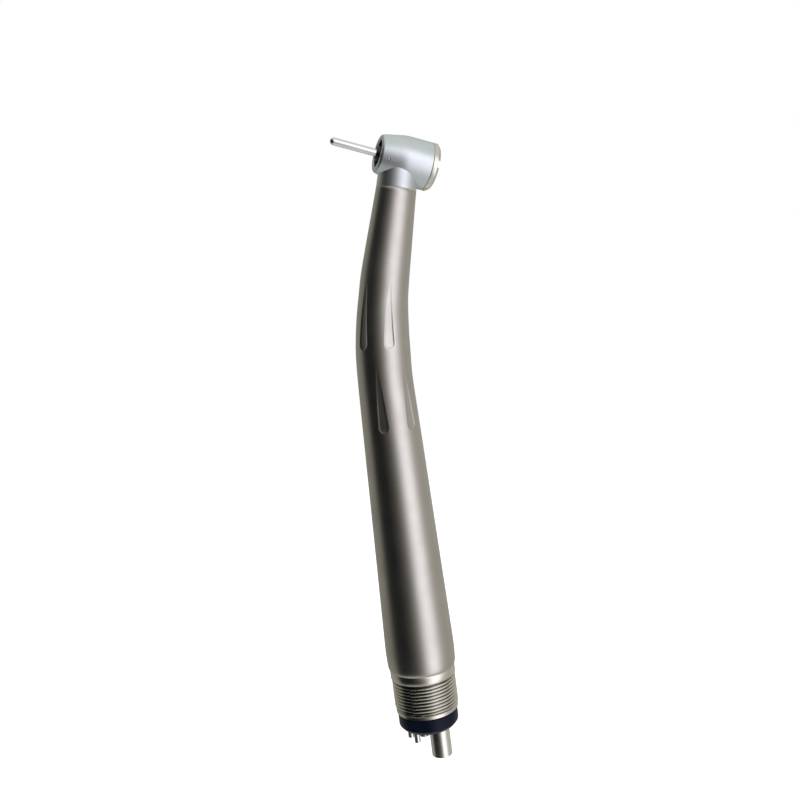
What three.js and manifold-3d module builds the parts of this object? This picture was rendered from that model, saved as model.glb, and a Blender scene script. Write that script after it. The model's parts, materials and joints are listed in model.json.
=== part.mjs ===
// High speed dental handpiece: handle, head with air turbine, and four-tube hose coupling.
// Millimetres. +Z runs up the handle; the origin is the centre of the gasket's rear face.
import * as THREE from 'three';
import { mergeVertices } from 'three/examples/jsm/utils/BufferGeometryUtils.js';
import Module from 'manifold-3d';

const wasm = await Module();
wasm.setup();

// ---- handle ----
const SEAM_Z = 13;
const HANDLE_R = 7.2;
const BEND_Z = 85.9;
const BEND_ANGLE = THREE.MathUtils.degToRad(15.13);
const BEND_TANGENT = 13;
const NECK_LENGTH = 35.2;
const RING_BELOW_HEAD = 6.46;
const RING_R = 4.22;
const HANDLE_WALL = 1;
const FLUTE_DEPTH = 0.35;
const FLUTE_HALF_WIDTH = 1.0;
const FLUTE_LENGTH = 13;
const FLUTE_COUNT = 6;

// ---- rear coupling ----
const GASKET_R = 6.4;
const GASKET_HEIGHT = 3.5;
const THREAD_R = 6.8;
const THREAD_DEPTH = 0.38;
const THREAD_PITCH = 0.7;
const THREAD_BOTTOM = 4.6;
const THREAD_TOP = 10.9;
const COLLAR_R = 6.95;
const TUBE_FIT = 0.05;
const TUBE_ROOT_Z = 19;
const EXHAUST = { x: 2.3, y: 1.1, r: 2.2, wall: 0.3, end: -7.95 };
const DRIVE_AIR = { x: -0.4, y: 3.9, r: 1.2, wall: 0.25, end: -4.2 };
const WATER = { x: -3.65, y: 2.9, r: 0.65, wall: 0.15, end: -3.4 };
const CHIP_AIR = { x: -3.1, y: -0.1, r: 0.65, wall: 0.15, end: -3.4 };

// ---- head: w is the distance along the rotor axis, positive towards the bur ----
const AXIS_LIFT = THREE.MathUtils.degToRad(19.4);
const HEAD_FRONT = 4.95;
const HEAD_FRONT_R = 4.05;
const FRONT_HOLE_R = 2.9;
const HEAD_KINK = -0.2;
const HEAD_REAR = -5.9;
const HEAD_R = 5.05;
const SEAT_R = 3.6;
const CHAMBER_R = 3.95;
const CAP_BORE_R = 4.3;
const CAP_THICKNESS = 1.5;
const CAP_LIP = -6.55;
const CAP_END = -4.9;
const CAP_INNER_R = 3.5;
const CAP_NOTCHES = 4;
const CAP_NOTCH_WIDTH = 1.5;
const CAP_NOTCH_FLOOR_R = 3.9;
const BUTTON_R = 2.5;
const BUTTON_FLANGE = -6.5;
const BUTTON_FLANGE_R = 3.2;
const BUTTON_FLANGE_HEIGHT = 0.25;
const BUTTON_STEM_R = 1.1;
const BUTTON_STEM_END = -5.2;
const SPRING_START = -6.08;
const SPRING_HEIGHT = 1.13;
const SPRING_R = 2.9;
const SPRING_WIRE_R = 0.13;
const SPRING_TURNS = 2.5;
const BUR_R = 0.8;
const BUR_LENGTH_OUT = 10.2;
const BUR_TIP_R = 0.65;
const PLUG_W = 3.2;
const PLUG_TURN = THREE.MathUtils.degToRad(20);
const SPINDLE_R = 1.55;
const BORE_R = 0.85;
const BALL_COUNT = 7;
const BALL_R = 0.3;
const BALL_PITCH_R = 2.175;
const FRONT_BEARING = 1.7;
const REAR_BEARING = -4.3;
const BEARING_WIDTH = 2.4;
const BLADES = 8;

const V2 = (x, y) => new THREE.Vector2(x, y);
const V3 = (x, y, z) => new THREE.Vector3(x, y, z);

// ---- solids and their joins ----
function toSolid(geometry) {
  const g = geometry.clone();
  g.deleteAttribute('normal');
  g.deleteAttribute('uv');
  const merged = mergeVertices(g, 1e-4);
  const vertProperties = new Float32Array(merged.attributes.position.array);
  const triVerts = new Uint32Array(merged.index.array);
  const mesh = new wasm.Mesh({ numProp: 3, vertProperties, triVerts });
  mesh.merge();
  return new wasm.Manifold(mesh);
}

function toGeometry(solid) {
  const mesh = solid.getMesh();
  const g = new THREE.BufferGeometry();
  g.setAttribute('position', new THREE.BufferAttribute(mesh.vertProperties, 3));
  g.setIndex(new THREE.BufferAttribute(mesh.triVerts, 1));
  g.computeVertexNormals();
  return g;
}

function cut(body, ...tools) {
  let solid = toSolid(body);
  for (const tool of tools) solid = solid.subtract(toSolid(tool));
  return toGeometry(solid);
}

function join(...bodies) {
  let solid = toSolid(bodies[0]);
  for (const body of bodies.slice(1)) solid = solid.add(toSolid(body));
  return toGeometry(solid);
}

// A turned solid from [radius, height] points; a profile off the axis closes on itself.
function turned(points, segments = 32) {
  const outline = points.map(([r, z]) => V2(r, z));
  if (points[0][0] > 0) outline.push(outline[0].clone());
  const g = new THREE.LatheGeometry(outline, segments);
  g.rotateX(Math.PI / 2);
  return g;
}

function disc(r, z0, z1, segments = 32) {
  return turned([[0, z0], [r, z0], [r, z1], [0, z1]], segments);
}

function ring(rInner, rOuter, z0, z1, segments = 32) {
  return turned([[rInner, z0], [rOuter, z0], [rOuter, z1], [rInner, z1]], segments);
}

// A closed skin over rings of points, all with the same number of points.
function loft(rings) {
  const count = rings[0].length;
  const positions = rings.flat().flatMap((p) => [p.x, p.y, p.z]);
  const index = [];
  for (let i = 0; i < rings.length - 1; i += 1) {
    for (let j = 0; j < count; j += 1) {
      const a = i * count + j;
      const b = i * count + ((j + 1) % count);
      index.push(a, b, b + count, a, b + count, a + count);
    }
  }
  const last = (rings.length - 1) * count;
  for (let j = 1; j < count - 1; j += 1) {
    index.push(0, j + 1, j);
    index.push(last, last + j, last + j + 1);
  }
  const g = new THREE.BufferGeometry();
  g.setAttribute('position', new THREE.Float32BufferAttribute(positions, 3));
  g.setIndex(index);
  return g;
}

// ---- the handle's centre line: straight, a round bend towards +X, straight again ----
const NECK_DIR = V3(Math.sin(BEND_ANGLE), 0, Math.cos(BEND_ANGLE));
const BEND_POINT = V3(0, 0, BEND_Z);
const HEAD_CENTRE = BEND_POINT.clone().addScaledVector(NECK_DIR, NECK_LENGTH);
const BEND_R = BEND_TANGENT / Math.tan(BEND_ANGLE / 2);

function centreLine(s) {
  const start = BEND_Z - BEND_TANGENT;
  const arc = BEND_R * BEND_ANGLE;
  if (s < start) return { point: V3(0, 0, s), tilt: 0 };
  if (s > start + arc) {
    const along = s - start - arc + BEND_TANGENT;
    return { point: BEND_POINT.clone().addScaledVector(NECK_DIR, along), tilt: BEND_ANGLE };
  }
  const turn = (s - start) / BEND_R;
  const point = V3(BEND_R * (1 - Math.cos(turn)), 0, start + BEND_R * Math.sin(turn));
  return { point, tilt: turn };
}

const RING_S = BEND_Z - BEND_TANGENT + BEND_R * BEND_ANGLE + NECK_LENGTH - RING_BELOW_HEAD - BEND_TANGENT;

// Outer radius along the handle.
const HANDLE_PROFILE = [
  [SEAM_Z, HANDLE_R - 0.25], [SEAM_Z + 0.3, HANDLE_R], [16.5, 7.38], [75, 5.76], [81, 5.74],
  [87.5, 5.45], [92, 5.18], [96, 5.1], [100, 4.93], [RING_S, RING_R],
];

function handleRadius(s) {
  const p = HANDLE_PROFILE;
  for (let i = 0; i < p.length - 1; i += 1) {
    if (s <= p[i + 1][0]) {
      return p[i][1] + ((p[i + 1][1] - p[i][1]) * (s - p[i][0])) / (p[i + 1][0] - p[i][0]);
    }
  }
  return RING_R;
}

function station(s, radius, segments) {
  const { point, tilt } = centreLine(s);
  const side = V3(Math.cos(tilt), 0, -Math.sin(tilt));
  const points = [];
  for (let j = 0; j < segments; j += 1) {
    const a = (2 * Math.PI * j) / segments;
    const p = point.clone().addScaledVector(side, radius * Math.cos(a));
    points.push(p.add(V3(0, radius * Math.sin(a), 0)));
  }
  return points;
}

// A teardrop scoop, pointed at its top end, laid on the handle's surface.
function flute(azimuth, bottom) {
  const half = FLUTE_HALF_WIDTH;
  const points = [V2(0, -half), V2(half * 0.7, -half * 0.7), V2(half, 0), V2(half * 0.62, 5.5)];
  points.push(V2(0, FLUTE_LENGTH));
  const g = new THREE.LatheGeometry(points, 10);
  g.rotateX(Math.PI / 2);
  const middle = bottom + FLUTE_LENGTH / 2;
  const slope = Math.atan((handleRadius(bottom) - handleRadius(bottom + FLUTE_LENGTH)) / FLUTE_LENGTH);
  const { point, tilt } = centreLine(middle);
  g.translate(0, 0, -FLUTE_LENGTH / 2);
  g.rotateY(-slope);
  g.translate(handleRadius(middle) + half * 0.75 - FLUTE_DEPTH, 0, 0);
  g.rotateZ(azimuth);
  g.rotateY(tilt);
  g.translate(point.x, point.y, point.z);
  return g;
}

function handleShell() {
  const outer = loft(HANDLE_PROFILE.map(([s, r]) => station(s, r, 40)));
  const top = [RING_S + 1, RING_S, 100, 96, 92, 87.5, 81, 75, 24.5].map((s) => {
    return station(s, handleRadius(s) - HANDLE_WALL, 24);
  });
  const bore = loft(top.reverse());
  const flutes = [];
  for (let i = 0; i < FLUTE_COUNT; i += 1) {
    const step = (2 * Math.PI) / FLUTE_COUNT;
    flutes.push(flute(-Math.PI / 2 + i * step, 82.5));
    flutes.push(flute(-Math.PI / 2 + (i + 0.5) * step, 65.5));
  }
  return cut(outer, bore, disc(5.75, SEAM_Z - 1, 25), ...flutes);
}

// ---- rear coupling ----
function tubeHole(tube, z0, z1) {
  return disc(tube.r + TUBE_FIT, z0, z1, 24).translate(tube.x, tube.y, 0);
}

function coupler(z0, z1) {
  return [EXHAUST, DRIVE_AIR, WATER, CHIP_AIR].map((tube) => tubeHole(tube, z0, z1));
}

function threadRadius(z, turn) {
  const phase = z / THREAD_PITCH - turn;
  const ridge = Math.abs(2 * (phase - Math.floor(phase)) - 1);
  const ends = Math.min(z - THREAD_BOTTOM, THREAD_TOP - z) / THREAD_PITCH;
  const height = Math.max(0, Math.min(1, ends));
  return THREAD_R - THREAD_DEPTH + THREAD_DEPTH * ridge * height;
}

function threadedBody() {
  const segments = 32;
  const rows = Math.round(((THREAD_TOP - THREAD_BOTTOM) / THREAD_PITCH) * 2);
  const rings = [];
  const circle = (z, r) => {
    const points = [];
    for (let j = 0; j < segments; j += 1) {
      const a = (2 * Math.PI * j) / segments;
      const radius = r === undefined ? threadRadius(z, j / segments) : r;
      points.push(V3(radius * Math.cos(a), radius * Math.sin(a), z));
    }
    return points;
  };
  rings.push(circle(GASKET_HEIGHT, 6.3), circle(GASKET_HEIGHT + 0.25, 6.55), circle(4.2, 6.55));
  for (let i = 0; i <= rows; i += 1) {
    rings.push(circle(THREAD_BOTTOM + ((THREAD_TOP - THREAD_BOTTOM) * i) / rows));
  }
  rings.push(circle(THREAD_TOP + 0.3, COLLAR_R), circle(SEAM_Z - 0.02, COLLAR_R));
  rings.push(circle(SEAM_Z, 5.65), circle(24, 5.65));
  return loft(rings);
}

function rearConnector() {
  return cut(threadedBody(), ...coupler(GASKET_HEIGHT - 1, 25));
}

function couplingGasket() {
  const body = turned([
    [0, 0], [GASKET_R - 0.8, 0], [GASKET_R, 0.9], [GASKET_R, GASKET_HEIGHT - 0.01],
    [0, GASKET_HEIGHT - 0.01],
  ], 48);
  return cut(body, ...coupler(-1, GASKET_HEIGHT + 1));
}

function coupleTube(tube) {
  return ring(tube.r - tube.wall, tube.r, tube.end, TUBE_ROOT_Z, 24).translate(tube.x, tube.y, 0);
}

// A line from the connector to the head, along a chain of points.
function innerLine(points, radius) {
  const shape = new THREE.Shape();
  shape.absarc(0, 0, radius, 0, 2 * Math.PI, false);
  const path = new THREE.CatmullRomCurve3(points, false, 'centripetal');
  return new THREE.ExtrudeGeometry(shape, {
    steps: 14, curveSegments: 4, bevelEnabled: false, extrudePath: path,
  });
}

function besideNeck(s, x, y) {
  const { point, tilt } = centreLine(s);
  return point.clone().add(V3(Math.cos(tilt) * x, y, -Math.sin(tilt) * x));
}

function lineTo(tube, x, y, radius) {
  const start = [V3(tube.x, tube.y, TUBE_ROOT_Z + 0.2), V3(tube.x, tube.y, 26), V3(x * 1.5, y * 1.5, 45)];
  const rest = [72, 82, 92, 104, 112.8].map((s) => besideNeck(s, x, y));
  return innerLine([...start, ...rest], radius);
}

// ---- head, built about the rotor axis and then laid in place ----
function place(geometry) {
  geometry.rotateY(-(Math.PI / 2 - AXIS_LIFT));
  geometry.translate(HEAD_CENTRE.x, HEAD_CENTRE.y, HEAD_CENTRE.z);
  return geometry;
}

// A cylinder along the neck, between two distances below the head's centre.
function neckCylinder(rLow, rHigh, low, high, segments = 32) {
  const g = turned([[0, -low], [rLow, -low], [rHigh, -high], [0, -high]], segments);
  g.rotateY(BEND_ANGLE);
  g.translate(HEAD_CENTRE.x, HEAD_CENTRE.y, HEAD_CENTRE.z);
  return g;
}

function headHousing() {
  const barrel = place(turned([
    [0, HEAD_REAR], [HEAD_R, HEAD_REAR], [HEAD_R, HEAD_KINK], [HEAD_FRONT_R, HEAD_FRONT - 0.35],
    [HEAD_FRONT_R - 0.35, HEAD_FRONT], [0, HEAD_FRONT],
  ], 48));
  const collar = neckCylinder(RING_R, RING_R - 0.08, RING_BELOW_HEAD, 0, 48);
  const spigot = neckCylinder(3.05, 3.05, 11.5, 2);
  const inside = place(turned([
    [0, HEAD_REAR - 1], [CAP_BORE_R, HEAD_REAR - 1], [CAP_BORE_R, -4.85], [SEAT_R, -4.85],
    [SEAT_R, -1.85], [CHAMBER_R, -1.6], [CHAMBER_R, 1.3], [SEAT_R, 1.6], [SEAT_R, 4.15],
    [FRONT_HOLE_R, 4.15], [FRONT_HOLE_R, HEAD_FRONT + 1], [0, HEAD_FRONT + 1],
  ], 32));
  const passage = neckCylinder(2.45, 2.45, 13, 2.5, 24);
  const solid = toSolid(barrel).add(toSolid(collar)).add(toSolid(spigot));
  const drilled = solid.subtract(toSolid(inside)).subtract(toSolid(passage));
  return toGeometry(drilled.subtract(toSolid(plugBody(0.34, 3.0, 4.8))));
}

// A round bar across the head's wall, low on the side of the cone, between two radii.
function plugBody(radius, inner, outer) {
  const g = disc(radius, inner, outer, 12);
  g.rotateX(Math.PI / 2);
  g.rotateZ(-PLUG_TURN);
  g.translate(0, 0, PLUG_W);
  return place(g);
}

function backCap() {
  const rear = HEAD_REAR - CAP_THICKNESS;
  const body = turned([
    [BUTTON_R + 0.08, rear], [HEAD_R - 0.55, rear], [HEAD_R, rear + 0.55], [HEAD_R, HEAD_REAR - 0.02],
    [CAP_BORE_R - 0.05, HEAD_REAR - 0.02], [CAP_BORE_R - 0.05, CAP_END], [CAP_INNER_R, CAP_END],
    [CAP_INNER_R, CAP_LIP], [BUTTON_R + 0.08, CAP_LIP],
  ], 48);
  const notches = [];
  for (let i = 0; i < CAP_NOTCHES; i += 1) {
    const notch = new THREE.BoxGeometry(2, CAP_NOTCH_WIDTH, 1.6);
    notch.translate(CAP_NOTCH_FLOOR_R + 1, 0, rear + 0.4);
    notch.rotateZ((2 * Math.PI * i) / CAP_NOTCHES + Math.PI / 2);
    notches.push(notch);
  }
  return place(cut(body, ...notches));
}

function pushButton() {
  const rear = HEAD_REAR - CAP_THICKNESS;
  const flangeTop = BUTTON_FLANGE + BUTTON_FLANGE_HEIGHT;
  return place(turned([
    [0, rear - 0.15], [BUTTON_R - 0.3, rear - 0.1], [BUTTON_R, rear + 0.15], [BUTTON_R, BUTTON_FLANGE],
    [BUTTON_FLANGE_R, BUTTON_FLANGE], [BUTTON_FLANGE_R, flangeTop], [BUTTON_STEM_R, flangeTop],
    [BUTTON_STEM_R, BUTTON_STEM_END], [0, BUTTON_STEM_END],
  ]));
}

function buttonSpring() {
  const points = [];
  const steps = SPRING_TURNS * 10;
  for (let i = 0; i <= steps; i += 1) {
    const a = (2 * Math.PI * i) / 10;
    const height = SPRING_START + (SPRING_HEIGHT * i) / steps;
    points.push(V3(SPRING_R * Math.cos(a), SPRING_R * Math.sin(a), height));
  }
  const shape = new THREE.Shape();
  shape.absarc(0, 0, SPRING_WIRE_R, 0, 2 * Math.PI, false);
  return place(new THREE.ExtrudeGeometry(shape, {
    steps, curveSegments: 2, bevelEnabled: false,
    extrudePath: new THREE.CatmullRomCurve3(points),
  }));
}

function spindle() {
  return place(turned([
    [BORE_R, -4.6], [1.2, -4.6], [SPINDLE_R, -4.4], [SPINDLE_R, 4.15], [BORE_R, 4.15],
  ], 24));
}

function impeller() {
  const hub = ring(SPINDLE_R + 0.02, 2.3, -1.3, 1.1, 24);
  const blades = [];
  for (let i = 0; i < BLADES; i += 1) {
    const blade = new THREE.BoxGeometry(1.6, 0.4, 2.1);
    blade.rotateZ(0.35);
    blade.translate(2.8, 0, -0.1);
    blade.rotateZ((2 * Math.PI * i) / BLADES);
    blades.push(blade);
  }
  return place(join(hub, ...blades));
}

function chuckCollet() {
  return place(turned([
    [BORE_R, 4.2], [1.5, 4.2], [1.5, 4.75], [1.25, 5.35], [BORE_R, 5.35],
  ], 24));
}

function testBur() {
  const tip = HEAD_FRONT + BUR_LENGTH_OUT;
  const points = [[0, -3.4], [BUR_R, -3.4]];
  for (let i = 0; i <= 4; i += 1) {
    const a = (Math.PI / 2) * (i / 4);
    const r = BUR_R - BUR_TIP_R + BUR_TIP_R * Math.cos(a);
    points.push([r, tip - BUR_TIP_R + BUR_TIP_R * Math.sin(a)]);
  }
  points.push([0, tip]);
  return place(turned(points, 24));
}

function innerRace(w) {
  return place(ring(SPINDLE_R + 0.02, 1.84, w, w + BEARING_WIDTH, 24));
}

function outerRace(w) {
  return place(ring(2.51, 3.1, w, w + BEARING_WIDTH, 32));
}

function ballCage(w) {
  const middle = w + BEARING_WIDTH / 2;
  const cage = ring(2.02, 2.33, middle - 0.5, middle + 0.5, 28);
  const balls = [];
  for (let i = 0; i < BALL_COUNT; i += 1) {
    const ball = new THREE.SphereGeometry(BALL_R, 6, 4);
    ball.translate(BALL_PITCH_R, 0, middle);
    ball.rotateZ((2 * Math.PI * i) / BALL_COUNT);
    balls.push(ball);
  }
  return place(join(cage, ...balls));
}

function oRing(w) {
  const g = new THREE.TorusGeometry(3.34, 0.22, 6, 24);
  g.translate(0, 0, w + BEARING_WIDTH / 2);
  return place(g);
}

function frontShield() {
  return place(ring(1.65, 2.84, 4.25, 4.5, 32));
}

function preloadWasher() {
  const rings = [];
  const segments = 32;
  const wave = (a) => -4.62 + 0.12 * Math.cos(3 * a);
  for (let j = 0; j < segments; j += 1) {
    const a = (2 * Math.PI * j) / segments;
    const corner = (r, dz) => V3(r * Math.cos(a), r * Math.sin(a), wave(a) + dz);
    rings.push([corner(2.6, -0.06), corner(3.15, -0.06), corner(3.15, 0.06), corner(2.6, 0.06)]);
  }
  return place(closedLoft(rings));
}

// A skin over rings whose last ring joins the first again.
function closedLoft(rings) {
  const count = rings[0].length;
  const positions = rings.flat().flatMap((p) => [p.x, p.y, p.z]);
  const index = [];
  for (let i = 0; i < rings.length; i += 1) {
    const next = (i + 1) % rings.length;
    for (let j = 0; j < count; j += 1) {
      const k = (j + 1) % count;
      const a = i * count + j;
      const b = i * count + k;
      const c = next * count + k;
      const d = next * count + j;
      index.push(a, c, b, a, d, c);
    }
  }
  const g = new THREE.BufferGeometry();
  g.setAttribute('position', new THREE.Float32BufferAttribute(positions, 3));
  g.setIndex(index);
  return g;
}

// ---- materials ----
const metal = (color, roughness) => () => new THREE.MeshStandardMaterial({ color, roughness, metalness: 1 });
const handleSteel = metal(0x9c968c, 0.3);
const headSteel = metal(0xb9c0cc, 0.45);
const warmSteel = metal(0xb0a89a, 0.35);
const tubeSteel = metal(0xc4bfb4, 0.25);
const burSteel = metal(0xd2d2d0, 0.12);
const chuckSteel = metal(0x4a4a4c, 0.35);
const raceSteel = metal(0xbfc2c6, 0.15);
const rotorSteel = metal(0xa8abb0, 0.3);
const springSteel = metal(0x8f9296, 0.3);
const lineSteel = metal(0xb6b2a8, 0.35);
const darkRubber = () => new THREE.MeshStandardMaterial({ color: 0x15171f, roughness: 0.8, metalness: 0 });
const cageResin = () => new THREE.MeshStandardMaterial({ color: 0x6b4a2c, roughness: 0.6, metalness: 0 });

const part = new THREE.Group();
part.name = 'high_speed_handpiece';

function add(name, geometry, material) {
  const mesh = new THREE.Mesh(geometry, material());
  mesh.name = name;
  part.add(mesh);
}

add('handle_shell', handleShell(), handleSteel);
add('head_housing', headHousing(), headSteel);
add('channel_plug', plugBody(0.31, 3.68, 4.2), headSteel);
add('rear_connector', rearConnector(), warmSteel);
add('coupling_gasket', couplingGasket(), darkRubber);
add('exhaust_tube', coupleTube(EXHAUST), tubeSteel);
add('drive_air_tube', coupleTube(DRIVE_AIR), tubeSteel);
add('water_tube', coupleTube(WATER), tubeSteel);
add('chip_air_tube', coupleTube(CHIP_AIR), tubeSteel);
add('drive_air_line', lineTo(DRIVE_AIR, 0.35, 1.15, 0.9), lineSteel);
add('water_line', lineTo(WATER, -1.5, 0.7, 0.4), lineSteel);
add('chip_air_line', lineTo(CHIP_AIR, -0.6, -1.5, 0.4), lineSteel);
add('back_cap', backCap(), warmSteel);
add('push_button', pushButton(), warmSteel);
add('button_spring', buttonSpring(), springSteel);
add('spindle', spindle(), rotorSteel);
add('impeller', impeller(), rotorSteel);
add('chuck_collet', chuckCollet(), chuckSteel);
add('test_bur', testBur(), burSteel);
add('front_inner_race', innerRace(FRONT_BEARING), raceSteel);
add('front_outer_race', outerRace(FRONT_BEARING), raceSteel);
add('front_ball_cage', ballCage(FRONT_BEARING), cageResin);
add('rear_inner_race', innerRace(REAR_BEARING), raceSteel);
add('rear_outer_race', outerRace(REAR_BEARING), raceSteel);
add('rear_ball_cage', ballCage(REAR_BEARING), cageResin);
add('front_o_ring', oRing(FRONT_BEARING), darkRubber);
add('rear_o_ring', oRing(REAR_BEARING), darkRubber);
add('preload_washer', preloadWasher(), springSteel);
add('front_shield', frontShield(), darkRubber);

export default part;
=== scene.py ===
"""Looks of a high speed dental handpiece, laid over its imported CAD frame."""
import json
import math

import bpy
import numpy as np
from mathutils import Matrix, Vector


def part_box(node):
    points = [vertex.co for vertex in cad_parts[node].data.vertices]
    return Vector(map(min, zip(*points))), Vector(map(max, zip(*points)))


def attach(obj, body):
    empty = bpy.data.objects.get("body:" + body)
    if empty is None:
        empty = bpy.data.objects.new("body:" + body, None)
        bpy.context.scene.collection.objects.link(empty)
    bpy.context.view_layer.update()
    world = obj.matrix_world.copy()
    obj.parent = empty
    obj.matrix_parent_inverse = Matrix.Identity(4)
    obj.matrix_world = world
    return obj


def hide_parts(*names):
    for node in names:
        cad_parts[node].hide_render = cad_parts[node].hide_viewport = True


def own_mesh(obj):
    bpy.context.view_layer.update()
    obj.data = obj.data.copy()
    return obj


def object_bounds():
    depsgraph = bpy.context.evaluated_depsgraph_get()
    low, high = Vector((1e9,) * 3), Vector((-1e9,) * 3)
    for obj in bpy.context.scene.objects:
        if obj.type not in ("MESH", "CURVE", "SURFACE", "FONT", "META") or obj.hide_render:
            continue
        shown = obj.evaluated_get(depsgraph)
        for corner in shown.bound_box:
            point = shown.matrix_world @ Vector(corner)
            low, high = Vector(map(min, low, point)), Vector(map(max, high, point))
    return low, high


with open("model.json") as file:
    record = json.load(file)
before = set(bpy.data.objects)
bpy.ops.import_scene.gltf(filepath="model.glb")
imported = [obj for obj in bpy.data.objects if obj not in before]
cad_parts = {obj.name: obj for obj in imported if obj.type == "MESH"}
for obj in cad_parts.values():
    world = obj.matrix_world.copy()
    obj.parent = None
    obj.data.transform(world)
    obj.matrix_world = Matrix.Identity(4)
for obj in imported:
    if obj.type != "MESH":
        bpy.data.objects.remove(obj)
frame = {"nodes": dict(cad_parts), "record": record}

bl_info = {
    "name": "High speed handpiece looks",
    "version": (1, 0, 0),
    "blender": (4, 5, 0),
    "location": "View3D > Sidebar > Handpiece",
    "description": "Builds the visible pieces of a dental handpiece over its CAD frame",
    "category": "Object",
}

MM = 0.001
TAU = 2 * math.pi
CAD_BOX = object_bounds()
JOINTS = {joint["name"]: joint for joint in frame["record"]["behaviour"]["joints"]}
HEAD = Vector(JOINTS["turbine_spin"]["pos_m"])
AXIS = Vector(JOINTS["turbine_spin"]["axis"])
AXIS_TURN = Matrix.Rotation(-math.acos(AXIS.z), 4, "Y")
SEAM_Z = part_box("handle_shell")[0].z
BEND = math.radians(15.13)
BEND_TANGENT = 13 * MM
BEND_RADIUS = BEND_TANGENT / math.tan(BEND / 2)
BEND_Z = HEAD.z - HEAD.x / math.tan(BEND)
NECK_DIR = Vector((math.sin(BEND), 0, math.cos(BEND)))
RING_DROP = 6.46 * MM
ARC_START = BEND_Z - BEND_TANGENT
ARC_END = ARC_START + BEND_RADIUS * BEND
RING_S = ARC_END + (HEAD - Vector((0, 0, BEND_Z))).length - RING_DROP - BEND_TANGENT
RING_R = 4.22 * MM
HANDLE_WALL = 1.0 * MM
SOCKET_R = 5.75 * MM
SOCKET_TOP = 24.6 * MM
FLUTE_EDGE = 0.3 * MM
FLUTES_PER_ROW = 6
SPRING_R = 2.9 * MM
SPRING_HEIGHT = 1.13 * MM
SPRING_WIRE_R = 0.13 * MM
TUBE_WALLS_MM = {"exhaust_tube": 0.3, "drive_air_tube": 0.25, "water_tube": 0.15, "chip_air_tube": 0.15}
PLUG_TURN = Matrix.Rotation(-math.radians(20), 4, "Z") @ Matrix.Rotation(math.pi / 2, 4, "X")
PLUG_LEAN = Matrix.Translation((0, 0, 3.2 * MM)) @ PLUG_TURN
NECK_PLACE = Matrix.Translation(HEAD) @ Matrix.Rotation(BEND, 4, "Y")

# A row of flutes: the place of its round ends, its turn in flute steps, its share of the full depth.
FLUTE_ROWS = ((82.5 * MM, 0.0, 1.0), (65.5 * MM, 0.5, 0.8))

# The handle's outline in millimetres: length along the centre line, outer radius.
HANDLE_PROFILE = (
    (13.3, 7.2), (16.5, 7.375), (75, 5.755), (81, 5.73), (87.5, 5.44),
    (92, 5.17), (96, 5.09), (100, 4.92), (RING_S / MM, RING_R / MM),
)

# Each finish: colour, second colour, roughness, its change, metallic, (kind of marks, scale, strength).
# A colour of None is taken from the settings.
FINISHES = {
    "handle_steel": (None, None, None, 0.06, 1.0, ("turned", 5000.0, 0.12)),
    "head_steel": (None, None, 0.41, 0.08, 1.0, ("grain", 5000.0, 0.14)),
    "plug_steel": (
        (0.42, 0.44, 0.46), (0.38, 0.40, 0.42), 0.41, 0.08, 1.0, ("grain", 5000.0, 0.14)),
    "warm_steel": (
        (0.77, 0.75, 0.68), (0.71, 0.69, 0.62), 0.22, 0.1, 1.0, ("turned", 5000.0, 0.08)),
    "tube_steel": (
        (0.86, 0.85, 0.82), (0.80, 0.79, 0.76), 0.22, 0.08, 1.0, ("turned", 3000.0, 0.1)),
    "bur_steel": (
        (0.90, 0.90, 0.89), (0.84, 0.84, 0.83), 0.14, 0.05, 1.0, ("turned", 5000.0, 0.05)),
    "chuck_steel": (
        (0.07, 0.07, 0.075), (0.05, 0.05, 0.055), 0.35, 0.1, 1.0, ("turned", 5000.0, 0.08)),
    "race_steel": (
        (0.7, 0.71, 0.72), (0.64, 0.65, 0.66), 0.15, 0.06, 1.0, ("turned", 5000.0, 0.05)),
    "rotor_steel": (
        (0.58, 0.59, 0.6), (0.52, 0.53, 0.54), 0.28, 0.1, 1.0, ("turned", 5000.0, 0.06)),
    "spring_steel": (
        (0.45, 0.46, 0.48), (0.38, 0.39, 0.41), 0.3, 0.1, 1.0, ("grain", 7000.0, 0.15)),
    "line_steel": (
        (0.62, 0.61, 0.57), (0.56, 0.55, 0.51), 0.3, 0.1, 1.0, ("turned", 2500.0, 0.2)),
    "dark_rubber": (
        (0.001, 0.003, 0.014), (0.002, 0.006, 0.022), 0.33, 0.15, 0.0, ("grain", 4000.0, 0.12)),
    # Front shield: a real part, but its near-black, unreflecting finish is painted shade filling the head's
    # opening.
    "shield_black": (
        (0.003, 0.003, 0.004), (0.006, 0.006, 0.007), 0.85, 0.05, 0.0, ("grain", 6000.0, 0.2)),
    "cage_resin": (
        (0.2, 0.11, 0.05), (0.16, 0.09, 0.04), 0.55, 0.1, 0.0, ("grain", 5000.0, 0.1)),
}

# The room's light by direction, in degrees to the right of the way back to the camera.
ROOM_STOPS = (
    (-180, (0.34, 0.34, 0.29)), (-124, (0.32, 0.32, 0.28)), (-104, (0.27, 0.27, 0.235)),
    (-84, (0.018, 0.020, 0.020)), (-40, (0.009, 0.010, 0.011)), (-30, (0.034, 0.033, 0.029)),
    (-18, (0.062, 0.058, 0.050)), (-6, (0.15, 0.138, 0.122)), (6, (0.33, 0.318, 0.30)),
    (14, (0.66, 0.65, 0.66)), (24, (1.26, 1.24, 1.31)), (38, (1.62, 1.59, 1.69)),
    (54, (1.48, 1.45, 1.52)), (67, (0.92, 0.91, 0.90)), (80, (0.56, 0.55, 0.52)),
    (105, (0.46, 0.45, 0.41)), (130, (0.50, 0.49, 0.45)), (180, (0.42, 0.41, 0.37)),
)


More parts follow.
